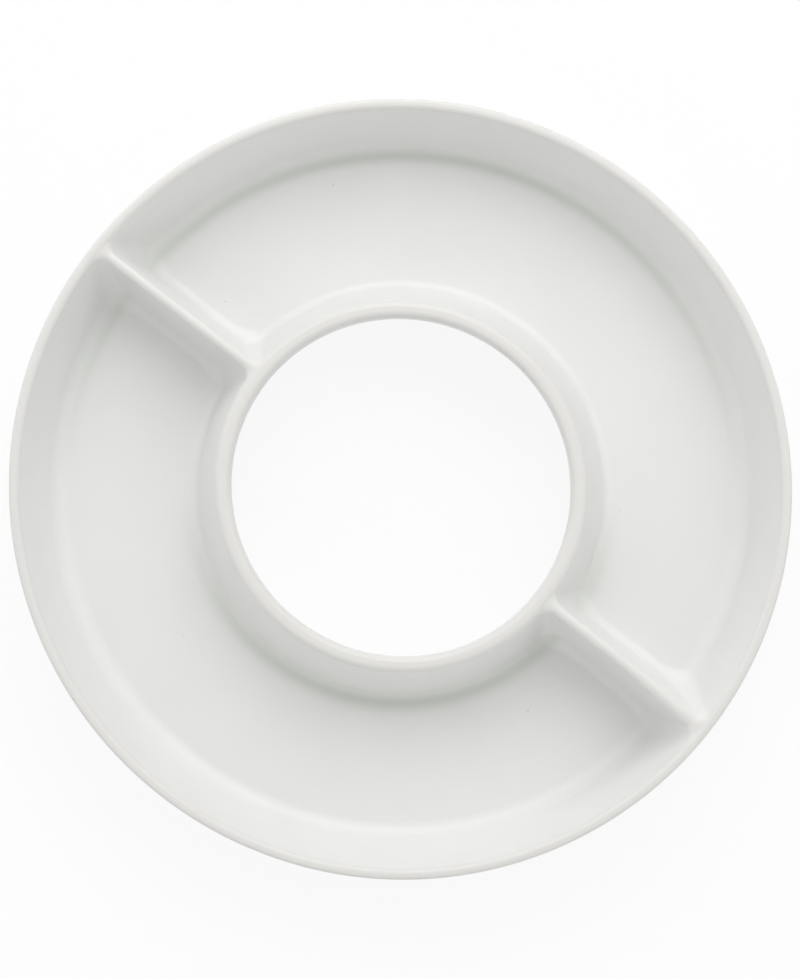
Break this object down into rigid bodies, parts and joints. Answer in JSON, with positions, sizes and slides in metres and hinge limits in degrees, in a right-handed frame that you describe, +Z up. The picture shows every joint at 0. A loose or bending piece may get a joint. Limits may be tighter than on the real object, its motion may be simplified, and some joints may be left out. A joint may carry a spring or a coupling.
{
  "type": "chip and dip server",
  "caption": "Deep round glazed ceramic ring server with straight dividers across its trough and an open centre that stands round a dip bowl.",
  "frame": {"origin": "centre of the round opening, in the plane that the foot rings stand on", "axes": "+Z up along the opening's axis; +X right and +Y away from a user at the front; the divider line lies 142 degrees from +X"},
  "size_m": [0.312, 0.312, 0.045],
  "materials": {
    "glaze": "glossy pale grey-white glaze",
    "bare_clay": "unglazed fired clay"
  },
  "bodies": {
    "root": {"tray_floor": "glaze", "outer_wall": "glaze", "inner_collar": "glaze", "left_divider": "glaze", "right_divider": "glaze", "outer_foot_ring": "bare_clay", "inner_foot_ring": "bare_clay"}
  },
  "joints": []
}
